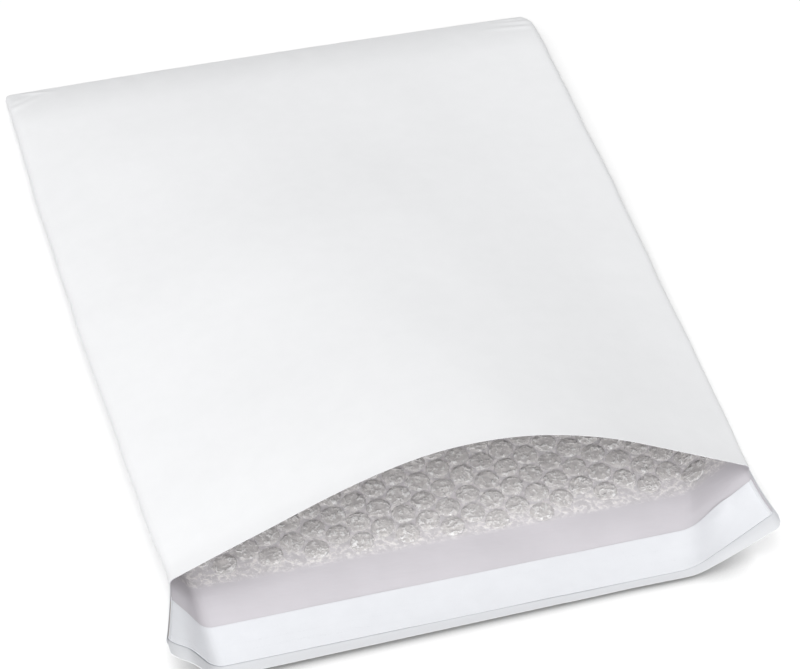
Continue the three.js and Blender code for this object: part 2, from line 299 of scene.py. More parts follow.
class PocketLoop:
    """The wall of the space inside, one closed loop in X and Z at every Y.

    place(where, y) takes where from 0 to 4: 0 to 1 across the front panel from the left fold, 1 to 2
    round the right fold, 2 to 3 across the back panel from right to left, 3 to 4 round the left fold.
    """

    def __init__(self, shape, look):
        self.shape = shape
        self.look = look
        self.closed = CAD_BOX[1].y
        self.mouth = self.closed - shape.panel_length
        self.half = shape.panel_width / 2

    def openness(self, y):
        """1 at the mouth edge and on the lip, falling in a straight line to 0 at the sealed end."""
        return clamp01((self.closed - y) / self.shape.panel_length)

    def lip_share(self, side, y):
        """0 inside the mouth, rising as a power of 1.5 along the lip until its free margin starts."""
        shape = self.shape
        y = np.maximum(y, self.mouth - shape.lip_margin[side])
        along = (self.mouth + shape.flare_start - y) / (shape.lip_length + shape.flare_start)
        return clamp01(along) ** 1.5

    def padding(self, y):
        """Wall thickness, falling as a parabola from the whole pad to half the sealed thickness."""
        shape = self.shape
        back = clamp01((self.closed - y) / shape.seam_ease)
        return mix(shape.seam_half, shape.pad, back * (2 - back))

    def side_fold(self, side, y):
        """X and rise of a fold and the run of its wall: each a power of openness, and more on the lip."""
        shape, opened, lip = self.shape, self.openness(y), self.lip_share(side, y)
        corner = clamp01((y - self.closed + shape.corner_along[side]) / shape.corner_along[side])
        rounding = shape.corner_in[side] * (1 - np.sqrt(1 - corner * corner))
        drawn_in = shape.narrowing[side] * opened**shape.narrowing_fade + rounding
        stray = self.look.wander * soft_waves(y, y * 0, 41 + side, 0.09, 0.012)
        x = self.half - drawn_in + shape.flare[side] * lip - self.padding(y) - stray * (1 - corner)
        rise = shape.rise[side] * opened**shape.rise_fade + shape.lip_rise[side] * lip
        wider = shape.mouth_run[side] * opened**shape.mouth_run_fade + shape.lip_run[side] * lip
        return SIGNS[side] * x, rise, shape.run[side] + wider

    def arch(self, u):
        """Height of the arch and its slope: mostly a cosine, the rest a raised cosine, leaning right."""
        lean, plain = self.shape.arch_lean, self.shape.arch_cosine
        raised = (1 - plain) / 2
        phase = np.pi / 2 * (u - lean * (1 - u * u))
        phase_slope = np.pi / 2 * (1 + 2 * lean * u)
        height = plain * np.cos(phase) + raised * (1 + np.cos(2 * phase))
        slope = -(plain * np.sin(phase) + 2 * raised * np.sin(2 * phase)) * phase_slope
        return height, slope

    def front_relief(self, u, x, y):
        """Swells that die away at the folds, puckers along the seal and ridges at its corners."""
        look, back = self.look, self.closed - y
        pucker_reach, pucker_spacing = 7 * MM, 16.5 * MM
        inner = 1 - u**4
        swell = soft_waves(x, y, 11, 0.15, 0.035) * smoothstep((back - 0.012) / 0.05)
        drawn = back / pucker_reach * np.exp(1 - back / pucker_reach)
        strayed = x + 4 * MM * soft_waves(x, y, 12, 0.05, 0.02)
        row = 0.5 + 0.5 * np.cos(2 * np.pi * strayed / pucker_spacing)
        patchy = 0.5 + 0.5 * soft_waves(x, y * 0.2, 13, 0.08, 0.03)
        soft = look.pillow * swell + look.pucker * drawn * row * patchy
        return soft * inner + look.crumple * self.corner_ridges(x, y)

    def corner_ridges(self, x, y):
        """Ridges that fan inwards from both sealed corners."""
        starts, ends = [], []
        for sign, fan in zip(SIGNS, CORNER_CREASES):
            for in_from, down_from, in_to, down_to in fan:
                starts.append((sign * (self.half - in_from * MM), self.closed - down_from * MM))
                ends.append((sign * (self.half - in_to * MM), self.closed - down_to * MM))
        return creases(x, y, starts, ends, 1.1 * MM)

    def front(self, u, y):
        """Front panel, u from -1 to 1: the arch over the straight line between the two folds."""
        left_x, left_rise, _ = self.side_fold(LEFT, y)
        right_x, right_rise, _ = self.side_fold(RIGHT, y)
        part = (u + 1) / 2
        arch_height, arch_slope = self.arch(u)
        height = self.shape.arch_height * self.openness(y) ** self.shape.arch_fade
        x = mix(left_x, right_x, part)
        z = self.padding(y) + mix(left_rise, right_rise, part) + height * arch_height
        slope = (height * arch_slope + (right_rise - left_rise) / 2) / ((right_x - left_x) / 2)
        angle = np.pi / 2 + np.arctan(slope)
        relief = self.front_relief(u, x, y)
        return x + relief * np.cos(angle), z + relief * np.sin(angle), angle

    def wall(self, side, q, y):
        """Rising wall, q from the flat to 1 at the fold: a parabola round its crease, then straight,
        with a bulge on the lip that goes as the squared sine."""
        soft = self.shape.crease_softness
        fold_x, rise, run = self.side_fold(side, y)
        curve = clamp01((q + soft) / (2 * soft))
        bulge = self.shape.lip_bulge[side] * self.lip_share(side, y)
        phase = np.pi * clamp01(q)
        height = np.where(q >= soft, q, soft * curve**2) + bulge * np.sin(phase) ** 2
        slope = np.where(q >= soft, 1.0, curve) + bulge * np.pi * np.sin(2 * phase)
        x = fold_x - SIGNS[side] * run * (1 - q)
        angle = -np.pi / 2 + SIGNS[side] * np.arctan(rise / run * slope)
        return x, self.padding(y) + rise * height, angle

    def back(self, b, y):
        """Back panel, b from -1 at the left fold to 1 at the right: two walls and a flat between."""
        soft = self.shape.crease_softness
        q = mix(-soft, 1.0, (np.abs(b) - WALL_FROM) / (1 - WALL_FROM))
        q = np.maximum(q, -soft)
        left_x, left_z, left_angle = self.wall(LEFT, q, y)
        right_x, right_z, right_angle = self.wall(RIGHT, q, y)
        flat_x = mix(left_x, right_x, clamp01((b / WALL_FROM + 1) / 2))
        on_wall = np.abs(b) >= WALL_FROM
        on_left = on_wall & (b < 0)
        x = np.where(on_left, left_x, np.where(on_wall, right_x, flat_x))
        z = np.where(on_left, left_z, right_z)
        angle = np.where(on_left, left_angle, right_angle)
        step = self.lap_step(b)
        return x + step * np.cos(angle), z + step * np.sin(angle) - self.lip_curl(b, y), angle

    def lip_curl(self, b, y):
        """How far the lip's margin droops past the strip, on the walls only."""
        shape, look, width = self.shape, self.look, 6 * MM
        margin = np.where(b < 0, shape.lip_margin[LEFT], shape.lip_margin[RIGHT])
        past = clamp01((self.mouth - margin - y) / width)
        on_wall = smoothstep((np.abs(b) - WALL_FROM - 0.04) / 0.08)
        return past**1.2 * on_wall * np.where(b < 0, look.curl[LEFT], look.curl[RIGHT])

    def lap_step(self, b):
        """A small step where one edge of the paper is lapped over the other, and its slow way back."""
        step, way_back = smoothstep((b - self.look.lap_place) / 0.012), smoothstep((0.6 - b) / 0.2)
        return self.look.lap * step * way_back

    def round_fold(self, side, part, y):
        """Round a fold, from one panel to the next: the place hardly moves and the outward angle turns."""
        at_fold = y * 0 + SIGNS[side]
        front, back = self.front(at_fold, y), self.back(at_fold, y)
        if side == RIGHT:
            return tuple(mix(start, end, part) for start, end in zip(front, back))
        back_x, back_z, back_angle = back
        back = (back_x, back_z, back_angle + 2 * np.pi)
        return tuple(mix(start, end, part) for start, end in zip(back, front))

    def place(self, where, y):
        """X, Z and outward angle at any place round the loop, picked from the four stretches."""
        front = self.front(np.clip(where, 0, 1) * 2 - 1, y)
        right = self.round_fold(RIGHT, clamp01(where - 1), y)
        back = self.back(5 - 2 * np.clip(where, 2, 3), y)
        left = self.round_fold(LEFT, clamp01(where - 3), y)
        stretch = [where <= 1, where < 2, where <= 3]
        return tuple(np.select(stretch, parts[:3], parts[3]) for parts in zip(front, right, back, left))

    def point(self, place, y, depth):
        """A place moved outwards by depth. The lip's end is lifted a little, and near the sealed end
        the sides lag behind the middle as the square of the distance from it."""
        x, z, angle = place
        shape = self.shape
        near_end = smoothstep((y - self.closed + shape.end_bow_fade) / shape.end_bow_fade)
        lag = shape.end_bow * near_end * (x / self.half) ** 2
        lift_start = 6 * MM
        on_lip = clamp01((self.mouth - lift_start - y) / (shape.lip_length - lift_start))
        z = z + shape.lip_lift * on_lip**2
        return np.stack([x + depth * np.cos(angle), y - lag + x * 0, z + depth * np.sin(angle)], -1)

    def skin(self, where, y, depth):
        """Points of a skin: the loop's place moved outwards by depth."""
        return self.point(self.place(where, y), y, depth)

    def front_arch(self, where):
        """Height of the arch on the front panel, 0 elsewhere."""
        return np.where(where <= 1, self.arch(np.clip(where, 0, 1) * 2 - 1)[0], 0)

    def front_end(self, where):
        """Y of the front panel's mouth edge, drawn back as the square of the arch's height."""
        return self.mouth + self.shape.arch_setback * self.front_arch(where) ** 2

    def across(self, where):
        """0 at the left side of the panel, 1 at its right side."""
        x = self.place(where, where * 0 + self.mouth)[0]
        return clamp01(0.5 + x / self.shape.panel_width)

    def lip_end(self, where):
        """Y of the lip's end, a little skewed across the envelope, with rounded corners."""
        shape = self.shape
        skewed = clamp01(self.across(where) / shape.lip_skew_end)
        edge = self.mouth - shape.lip_length + shape.lip_skew * skewed
        radius = np.where(where < BACK_MIDDLE, shape.lip_corner[RIGHT], shape.lip_corner[LEFT])
        left, right = [(where - first) / (last - first) for first, last in LIP_CORNERS]
        corner = clamp01(np.maximum(left, right))
        return edge + radius * (1 - np.sqrt(1 - corner * corner))

    def strip_course(self, strip, where):
        """How much further in the closing strip runs: more to the right, and as it climbs each wall."""
        wall = clamp01((np.abs(5 - 2 * where) - WALL_FROM) / (1 - WALL_FROM))
        climb = np.where(where < BACK_MIDDLE, strip.climb[RIGHT], strip.climb[LEFT])
        return strip.skew * self.across(where) + climb * wall


# ---- grids, shells and pieces ----


def shell_faces(cells, rows, columns, wrap, far_rim):
    """Quads of an outer and an inner skin over the same grid, and of the rims that join them.

    cells says which quads of the grid are there. The inner skin's vertices follow the outer ones.
    """
    inner = rows * columns
    r, c = np.nonzero(cells)
    n = (c + 1) % columns
    a, b, d, e = r * columns + c, r * columns + n, (r + 1) * columns + n, (r + 1) * columns + c
    faces = [np.stack([a, b, d, e], 1), np.stack([a, e, d, b], 1) + inner]

    def has(row, column):
        """Whether the grid has the quad at this row and column."""
        last_row, last_column = cells.shape[0] - 1, cells.shape[1] - 1
        if wrap:
            column = column % columns
        inside = (row >= 0) & (row <= last_row) & (column >= 0) & (column <= last_column)
        return inside & cells[np.clip(row, 0, last_row), np.clip(column, 0, last_column)]

    def rim(missing, start, end):
        """A strip of quads along the edges from start to end that no neighbour shares."""
        s, t = start[missing], end[missing]
        faces.append(np.stack([t, s, s + inner, t + inner], 1))

    rim(~has(r - 1, c), a, b)
    rim(~has(r, c - 1), e, a)
    rim(~has(r, c + 1), b, d)
    if far_rim:
        rim(~has(r + 1, c), d, e)
    return np.concatenate(faces)


def end_cap(first, columns, faces_back):
    """Closes a ring whose first point is a fold's middle, joining each point to the one across."""
    near = first + np.arange(1, columns // 2)
    far = first + columns - np.arange(1, columns // 2)
    quads = np.stack([near[:-1], near[1:], far[1:], far[:-1]], 1)
    tips = np.array([[first, near[0], far[0]], [near[-1], first + columns // 2, far[-1]]])
    if faces_back:
        return quads, tips
    return quads[:, ::-1], tips[:, ::-1]


def make_piece(name, points, quads, triangles, material, smooth_angle=50):
    """A mesh object from arrays of points, quads and triangles, without the points that no face uses."""
    points = np.asarray(points, float).reshape(-1, 3)
    quads = np.asarray(quads, int).reshape(-1, 4)
    triangles = np.asarray(triangles, int).reshape(-1, 3)
    used, index = np.unique(np.concatenate([quads.ravel(), triangles.ravel()]), return_inverse=True)
    faces = index[: quads.size].reshape(-1, 4).tolist() + index[quads.size :].reshape(-1, 3).tolist()
    mesh = bpy.data.meshes.new(name)
    mesh.from_pydata(points[used].tolist(), [], faces)
    mesh.polygons.foreach_set("use_smooth", np.ones(len(mesh.polygons), bool))
    mesh.set_sharp_from_angle(angle=math.radians(smooth_angle))
    mesh.validate()
    mesh.update()
    mesh.materials.append(material)
    piece = bpy.data.objects.new(name, mesh)
    bpy.context.scene.collection.objects.link(piece)
    return piece, used


def add_attribute(piece, label, values):
    """One number for every point of a piece."""
    attribute = piece.data.attributes.new(label, "FLOAT", "POINT")
    attribute.data.foreach_set("value", values.astype(np.float32))


def loop_columns():
    """Places round the loop, from the middle of the left fold, the same count on both panels."""
    fold = np.linspace(0, 1, FOLD_COLUMNS + 1)[1:-1]
    half = len(fold) // 2
    panel = np.linspace(0, 1, PANEL_COLUMNS)
    left = 3 + fold
    return np.concatenate([left[half:], panel, 1 + fold, 2 + panel, left[:half]])


def bag_rows(loop, counts, front_edge, lip_edge, end):
    """Y of every grid point: the counted rows of the lip, the mouth zone, the body and the end zone."""
    lip_rows, mouth_rows, body_rows, end_rows = counts
    zone = loop.mouth + MOUTH_ZONE
    lip = np.linspace(0, 1, lip_rows, endpoint=False)[:, None]
    mouth = np.linspace(0, 1, mouth_rows, endpoint=False)[:, None]
    body = np.linspace(zone, end - END_ZONE, body_rows, endpoint=False)[:, None]
    tail = end - END_ZONE * (1 - np.linspace(0, 1, end_rows)[:, None]) ** 1.6
    flat = front_edge[None, :] * 0
    return np.concatenate(
        [
            mix(lip_edge[None, :], front_edge[None, :], lip),
            mix(front_edge[None, :], zone, mouth),
            body + flat,
            tail + flat,
        ]
    )


def make_bag(name, loop, counts, front_edge, lip_edge, ends, depths, lip_span, material):
    """A closed shell round the loop: two skins, the rims of the mouth and the lip, and two end caps.

    The lip has only the columns within lip_span.
    """
    where = loop_columns()
    on_lip = (where >= LIP_SPAN[0]) & (where <= LIP_SPAN[1])
    edge = np.where(on_lip, loop.mouth, front_edge(where))
    points = []
    for end, depth in zip(ends, depths):
        y = bag_rows(loop, counts, edge, lip_edge(where), end)
        ring = np.broadcast_to(where[None, :], y.shape)
        points.append(loop.skin(ring, y, depth(y)))
    rows, columns = points[0].shape[:2]
    row = np.arange(rows - 1)[:, None]
    within_span = (where >= lip_span[0]) & (where <= lip_span[1])
    cells = (row >= counts[0]) | (on_lip & np.roll(on_lip, -1) & within_span)[None, :]
    quads = shell_faces(cells, rows, columns, True, False)
    outer_first = (rows - 1) * columns
    caps = [end_cap(outer_first, columns, True), end_cap(outer_first + rows * columns, columns, False)]
    quads = np.concatenate([quads] + [cap[0] for cap in caps])
    triangles = np.concatenate([cap[1] for cap in caps])
    inner_face = np.repeat([0.0, 1.0], rows * columns)
    points = np.concatenate([part.reshape(-1, 3) for part in points])
    piece, used = make_piece(name, points, quads, triangles, material)
    add_attribute(piece, "inner_face", inner_face[used])
    return piece


def make_band(name, loop, strip, reach, rows_y, depths, lift, material, columns, rows):
    """A closed strip across the lip: an outer and an inner skin, at two depths, over the places of
    reach and from its far edge's y to its near edge's."""
    t = np.linspace(0, 1, rows)[:, None]
    where = np.linspace(*reach, columns)[None, :] + t * 0
    y = mix(*rows_y, t) + loop.strip_course(strip, where)
    rise = lift(5 - 2 * where, y)
    points = np.concatenate([loop.skin(where, y, depth - rise).reshape(-1, 3) for depth in depths])
    cells = np.ones((rows - 1, columns - 1), bool)
    quads = shell_faces(cells, rows, columns, False, True)
    return make_piece(name, points, quads, (), material)[0]


# ---- bubbles ----

# rings of a bubble's dome from its foot up, as shares of its radius and height
DOME_RADII = (1.0, 0.985, 0.90, 0.55)
DOME_HEIGHTS = (0.0, 0.60, 0.93, 0.99)


def on_panel(loop, panel, s, y, depth):
    """Points at arc length s from a panel's middle: the panel is sampled fold to fold, its length
    summed, and the place read off between the two samples that s falls between."""
    half_count = 48
    steps = np.linspace(-1, 1, 2 * half_count + 1)
    x, z, _ = panel(steps[None, :] + y[:, None] * 0, y[:, None] + steps[None, :] * 0)
    run = np.cumsum(np.hypot(np.diff(x, axis=1), np.diff(z, axis=1)), axis=1)
    run = np.concatenate([run[:, :1] * 0, run], axis=1)
    run -= run[:, half_count : half_count + 1]
    index = np.clip((run < s[:, None]).sum(1), 1, 2 * half_count)
    line = np.arange(len(s))
    before, after = run[line, index - 1], run[line, index]
    place = steps[index - 1] + (s - before) / (after - before) * (steps[1] - steps[0])
    return loop.point(panel(np.clip(place, -1, 1), y), y, depth), run[:, -1]


def bubble_centres(look, first_y, last_y):
    """Hexagonal lattice turned by the web's skew: columns along Y, neighbours half a pitch apart."""
    columns, rows = 18, 22  # each way from the middle, enough to cover the panel
    i, j = np.meshgrid(np.arange(-columns, columns + 1), np.arange(-rows, rows + 1), indexing="ij")
    a = (i * look.pitch * math.sqrt(3) / 2).ravel()
    b = ((j + 0.5 * (i % 2)) * look.pitch).ravel()
    s = a * math.cos(look.skew) - b * math.sin(look.skew)
    y = a * math.sin(look.skew) + b * math.cos(look.skew)
    keep = (y > first_y) & (y < last_y)
    return s[keep], y[keep]


def dome_faces(around):
    """Quads and triangles of one dome: rings of points from the foot up, then its top and its base."""
    k = np.arange(around)
    n = (k + 1) % around
    rings = [r * around for r in range(len(DOME_RADII))]
    quads = [np.stack([low + k, low + n, high + n, high + k], 1) for low, high in zip(rings, rings[1:])]
    top = rings[-1] + around
    tips = [
        np.stack([rings[-1] + k, rings[-1] + n, np.full(around, top)], 1),
        np.stack([n, k, np.full(around, top + 1)], 1),
    ]
    return np.concatenate(quads), np.concatenate(tips)


def make_bubbles(name, loop, look, panel, first_y, material, seed):
    """Closed domes of sixty faces, each with its own height, tilt and dent."""
    radius, around = look.bubble / 2, 12
    last_y = loop.closed - look.end_gap - radius - MM
    s, y = bubble_centres(look, first_y, last_y)
    _, half_run = on_panel(loop, panel, s, y, s * 0)
    keep = np.abs(s) < half_run - radius - 0.5 * MM
    s, y = s[keep], y[keep]
    count = len(s)

    bearing = np.arange(around) * 2 * np.pi / around
    px = np.append(np.outer(DOME_RADII, np.cos(bearing)).ravel(), [0.0, 0.0])
    py = np.append(np.outer(DOME_RADII, np.sin(bearing)).ravel(), [0.0, 0.0])
    ph = np.append(np.repeat(DOME_HEIGHTS, around), [1.0, 0.0])

    draw = np.random.default_rng(seed)
    size = draw.uniform(0.97, 1.0, (count, 1))
    tall = draw.uniform(0.42, 0.62, (count, 1))
    tilt = draw.normal(0, 0.10, (count, 2))
    dent = draw.uniform(-0.6, 0.6, (count, 2))
    dent_depth = draw.uniform(0.1, 0.50, (count, 1)) * (draw.random((count, 1)) < 0.6)
    lobe = draw.uniform(0, 2 * np.pi, (count, 1))
    squeeze = 1 + 0.012 * np.cos(3 * np.arctan2(py, px)[None, :] + lobe)
    dented = np.exp(-((px - dent[:, :1]) ** 2 + (py - dent[:, 1:]) ** 2) / 0.12)
    high = ph * tall * (1 + tilt[:, :1] * px + tilt[:, 1:] * py) - dent_depth * dented * ph
    vs = (s[:, None] + px * radius * size * squeeze).ravel()
    vy = (y[:, None] + py * radius * size * squeeze).ravel()
    base = loop.padding(vy) - loop.look.thickness - look.gap - look.film * 0.5
    room = np.maximum(base - look.top_gap, 0.2 * MM)
    points, _ = on_panel(loop, panel, vs, vy, base - np.clip(high, 0, 1).ravel() * room)

    quads, tips = dome_faces(around)
    if panel == loop.front:
        quads, tips = quads[:, ::-1], tips[:, ::-1]
    first = np.arange(count)[:, None, None] * len(px)
    quads = (first + quads).reshape(-1, 4)
    tips = (first + tips).reshape(-1, 3)
    piece, used = make_piece(name, points, quads, tips, material, 80)
    tone = draw.random((count, 1))
    for label, values in (("dome_height", ph), ("bubble_tone", tone)):
        add_attribute(piece, label, np.broadcast_to(values, (count, len(ph))).ravel()[used])
    return piece


# ---- node groups and materials ----


class Sheet:
    """A node tree being filled in."""

    def __init__(self, tree):
        self.tree = tree

    def fill(self, node, **inputs):
        """Sets or links a node's inputs: by name with underscores for spaces, or by number after an i."""
        for key, value in inputs.items():
            by_number = key.startswith("i") and key[1:].isdigit()
            socket = node.inputs[int(key[1:]) if by_number else key.replace("_", " ")]
            if isinstance(value, bpy.types.NodeSocket):
                self.tree.links.new(value, socket)
            else:
                socket.default_value = value

    def add(self, kind, settings=None, **inputs):
        """A node of this kind, with its settings and its inputs."""
        node = self.tree.nodes.new(kind)
        for key, value in (settings or {}).items():
            setattr(node, key, value)
        self.fill(node, **inputs)
        return node

    def shared(self, maker, **inputs):
        """A node of the group that maker makes. The group is made once and has the maker's name."""
        group = bpy.data.node_groups.get(maker.__name__) or maker(maker.__name__)
        return self.add("ShaderNodeGroup", {"node_tree": group}, **inputs)

    def attribute(self, label):
        """One of the piece's own numbers for each point."""
        return self.add("ShaderNodeAttribute", {"attribute_name": label}).outputs["Fac"]

    def maths(self, operation, first, second, clamp=False):
        """One step of arithmetic."""
        settings = {"operation": operation, "use_clamp": clamp}
        return self.add("ShaderNodeMath", settings, i0=first, i1=second).outputs[0]

    def span(self, value, low, high, to_low, to_high):
        """Value carried from one range to another, held at the ends."""
        ranges = {"From_Min": low, "From_Max": high, "To_Min": to_low, "To_Max": to_high}
        return self.add("ShaderNodeMapRange", {"clamp": True}, Value=value, **ranges).outputs["Result"]

    def blend(self, factor, first, second):
        """Two colours mixed, by the inputs that the node keeps for colours."""
        settings = {"data_type": "RGBA", "blend_type": "MIX"}
        return self.add("ShaderNodeMix", settings, i0=factor, i6=first, i7=second).outputs[2]

    def noise(self, vector, scale, detail, roughness):
        """Noise of this many features to the metre."""
        inputs = {"Vector": vector, "Scale": scale, "Detail": detail, "Roughness": roughness}
        return self.add("ShaderNodeTexNoise", None, **inputs).outputs["Fac"]

    def stretched(self, vector, scale):
        """Coordinates scaled differently along each axis."""
        return self.add("ShaderNodeMapping", None, Vector=vector, Scale=scale).outputs[0]

    def bump(self, height, strength, distance):
        """Normals of a relief."""
        inputs = {"Height": height, "Strength": strength, "Distance": distance}
        return self.add("ShaderNodeBump", None, **inputs).outputs["Normal"]


def rgba(tint, strength=1.0):
    """A colour property as four numbers, made paler or darker and held at white."""
    return (*(min(1.0, value * strength) for value in tint), 1.0)


def make_group(name, inputs, outputs):
    """An empty node group with named sockets, and its sheet, input node and output node."""
    group = bpy.data.node_groups.new(name, "ShaderNodeTree")
    for label, kind in inputs:
        group.interface.new_socket(label, in_out="INPUT", socket_type=kind)
    for label in outputs:
        group.interface.new_socket(label, in_out="OUTPUT", socket_type="NodeSocketFloat")
    given, out = group.nodes.new("NodeGroupInput"), group.nodes.new("NodeGroupOutput")
    return group, Sheet(group), given.outputs, out


def paper_fibre(name):
    """Paper's cloudy formation and fine fibres: a height, a mask of clouds and a change of roughness."""
    sockets = [("Vector", "NodeSocketVector"), ("Fibre scale", "NodeSocketFloat")]
    group, sheet, given, out = make_group(name, sockets, ("Height", "Cloud", "Roughness"))
    fine = sheet.noise(given["Vector"], given["Fibre scale"], 4.0, 0.65)
    along = sheet.stretched(given["Vector"], (1.0, 0.35, 1.0))
    grain = sheet.noise(along, given["Fibre scale"], 2.0, 0.5)
    cloud = sheet.noise(given["Vector"], 130.0, 4.0, 0.6)
    height = sheet.maths("ADD", sheet.maths("MULTIPLY", fine, 0.6), sheet.maths("MULTIPLY", grain, 0.4))
    sheet.fill(
        out,
        Height=height,
        Cloud=sheet.span(cloud, 0.3, 0.7, 0.0, 1.0),
        Roughness=sheet.span(fine, 0.35, 0.65, -0.06, 0.06),
    )
    return group


def handling_marks(name):
    """Soft smudges and short scuffs from handling, as a mask."""
    sockets = [("Vector", "NodeSocketVector"), ("Amount", "NodeSocketFloat")]
    group, sheet, given, out = make_group(name, sockets, ("Mask",))
    smudge = sheet.span(sheet.noise(given["Vector"], 22.0, 3.0, 0.55), 0.48, 0.78, 0.0, 1.0)
    scuff = sheet.noise(sheet.stretched(given["Vector"], (40.0, 260.0, 90.0)), 1.0, 3.0, 0.7)
    scuff = sheet.span(scuff, 0.66, 0.80, 0.0, 1.0)
    faint_scuff = sheet.maths("MULTIPLY", scuff, 0.4)
    both = sheet.maths("ADD", sheet.maths("MULTIPLY", smudge, 0.6), faint_scuff, clamp=True)
    sheet.fill(out, Mask=sheet.maths("MULTIPLY", both, given["Amount"]))
    return group


def film_crinkle(name):
    """Crumpled thin film: a height, a mask for painted shade in its hollows and a mask for painted glints
    along its folds.
    """
    sockets = [("Vector", "NodeSocketVector")]
    group, sheet, given, out = make_group(name, sockets, ("Height", "Hollow", "Glint"))
    place = given["Vector"]
    crinkle = sheet.noise(place, 480.0, 3.0, 0.65)
    wander = sheet.add("ShaderNodeTexNoise", None, Vector=place, Scale=230.0, Detail=2.0).outputs["Color"]
    shift = sheet.add("ShaderNodeVectorMath", {"operation": "SCALE"}, i0=wander, Scale=0.006).outputs[0]
    bent = sheet.add("ShaderNodeVectorMath", {"operation": "ADD"}, i0=place, i1=shift).outputs[0]
    edges = {"feature": "DISTANCE_TO_EDGE"}
    fold = sheet.add("ShaderNodeTexVoronoi", edges, Vector=bent, Scale=400.0).outputs["Distance"]
    ridge = sheet.span(fold, 0.03, 0.26, 1.0, 0.0)
    glint = sheet.maths("MULTIPLY", ridge, sheet.span(crinkle, 0.46, 0.58, 0.0, 1.0))
    height = sheet.maths("ADD", sheet.maths("MULTIPLY", crinkle, 0.7), sheet.maths("MULTIPLY", glint, 0.3))
    sheet.fill(out, Height=height, Hollow=sheet.span(crinkle, 0.36, 0.56, 1.0, 0.0), Glint=glint)
    return group


def new_material(name):
    """A material with its sheet, its Principled shader and its object coordinates."""
    material = bpy.data.materials.new(name)
    material.use_nodes = True
    material.node_tree.nodes.clear()
    sheet = Sheet(material.node_tree)
    shader = sheet.add("ShaderNodeBsdfPrincipled")
    sheet.add("ShaderNodeOutputMaterial", None, Surface=shader.outputs[0])
    return material, sheet, shader, sheet.add("ShaderNodeTexCoord").outputs["Object"]


def cover_paper(look):
    """White paper: cloudy formation, fine fibres and a few handling marks, greyer on its inner face."""
    material, sheet, shader, place = new_material("cover_paper")
    fibre = sheet.shared(paper_fibre, Vector=place, Fibre_scale=1400.0).outputs
    marks = sheet.shared(handling_marks, Vector=place, Amount=0.10).outputs
    tone = sheet.blend(fibre["Cloud"], rgba(look.paper), rgba(look.paper, 1.02))
    tone = sheet.blend(marks["Mask"], tone, rgba(look.worn))
    # greyer inner face, partly painted shade on the lip's drooping margin
    tone = sheet.blend(sheet.attribute("inner_face"), tone, rgba(look.inside))
    rough = sheet.maths("ADD", fibre["Roughness"], 0.62)
    normal = sheet.bump(fibre["Height"], 0.35, 0.00006)
    sheet.fill(shader, Base_Color=tone, Roughness=rough, Normal=normal, Specular_IOR_Level=0.35)
    return material


def lining_film(look):
    """Grey film, clouded, with soft wrinkles and a half gloss, and crinkled where it carries bubbles: there
    its colour carries painted shade in the crinkle's hollows, painted glints along its folds and a painted
    lift of light over the whole zone.
    """
    material, sheet, shader, place = new_material("lining_film")
    cloud = sheet.noise(place, 38.0, 3.0, 0.5)
    wrinkle = sheet.noise(sheet.stretched(place, (60.0, 130.0, 60.0)), 1.0, 3.0, 0.55)
    marks = sheet.shared(handling_marks, Vector=place, Amount=0.35).outputs
    fine = sheet.shared(film_crinkle, Vector=place).outputs
    bubbled = sheet.attribute("bubbled")
    tone = sheet.blend(sheet.span(cloud, 0.35, 0.65, 0.0, 1.0), rgba(look.tint), rgba(look.tint, 1.06))
    # painted shade in the crinkle's hollows, only where the film carries bubbles
    hollow_shade = sheet.span(fine["Hollow"], 0.0, 1.0, 0.0, 0.52)
    tone = sheet.blend(sheet.maths("MULTIPLY", bubbled, hollow_shade), tone, rgba(look.tint, 0.66))
    # painted glints along the crinkle's folds, over a painted lift of light across the whole bubbled zone
    glint = sheet.span(fine["Glint"], 0.0, 1.0, 0.20, 0.72)
    tone = sheet.blend(sheet.maths("MULTIPLY", bubbled, glint), tone, rgba(look.bubble_tint))
    rough = sheet.span(marks["Mask"], 0.0, 0.35, 0.40, 0.55)
    height = sheet.maths("ADD", wrinkle, sheet.maths("MULTIPLY", bubbled, fine["Height"]))
    normal = sheet.bump(height, 0.35, 0.0006)
    sheet.fill(shader, Base_Color=tone, Roughness=rough, Normal=normal, Specular_IOR_Level=0.4)
    return material


def bubble_skin(look):
    """Clear glossy bubbles, crinkled all over, with painted shade in the crinkle's hollows and painted
    glints along its folds: the walls all but vanish, the tops are more opaque and the painted glints more
    opaque still.
    """
    material, sheet, shader, place = new_material("bubble_skin")
    crinkle = sheet.shared(film_crinkle, Vector=place).outputs
    # painted shade for the crinkle's hollows, also the tone of the bubbles that are at random dimmer
    dimmer_and_hollow_shade = rgba(look.bubble_tint, 0.66)
    tone = sheet.blend(crinkle["Hollow"], rgba(look.bubble_tint), dimmer_and_hollow_shade)
    tone = sheet.blend(sheet.maths("MULTIPLY", sheet.attribute("bubble_tone"), 0.20), tone, dimmer_and_hollow_shade)
    # painted glints along the crinkle's folds
    tone = sheet.blend(crinkle["Glint"], tone, rgba(look.bubble_tint, 1.20))
    milky_and_glint_alpha = sheet.span(sheet.attribute("dome_height"), 0.45, 0.95, 0.03, 0.50)
    # painted glints are made more opaque, so that they show brighter over the film
    milky_and_glint_alpha = sheet.maths("MULTIPLY", milky_and_glint_alpha, sheet.span(crinkle["Glint"], 0.0, 1.0, 0.86, 1.70))
    rough = sheet.span(crinkle["Glint"], 0.0, 1.0, 0.30, 0.14)
    normal = sheet.bump(crinkle["Height"], 1.0, 0.0008)
    sheet.fill(shader, Base_Color=tone, Roughness=rough, Normal=normal, Alpha=milky_and_glint_alpha, Specular_IOR_Level=0.7)
    return material


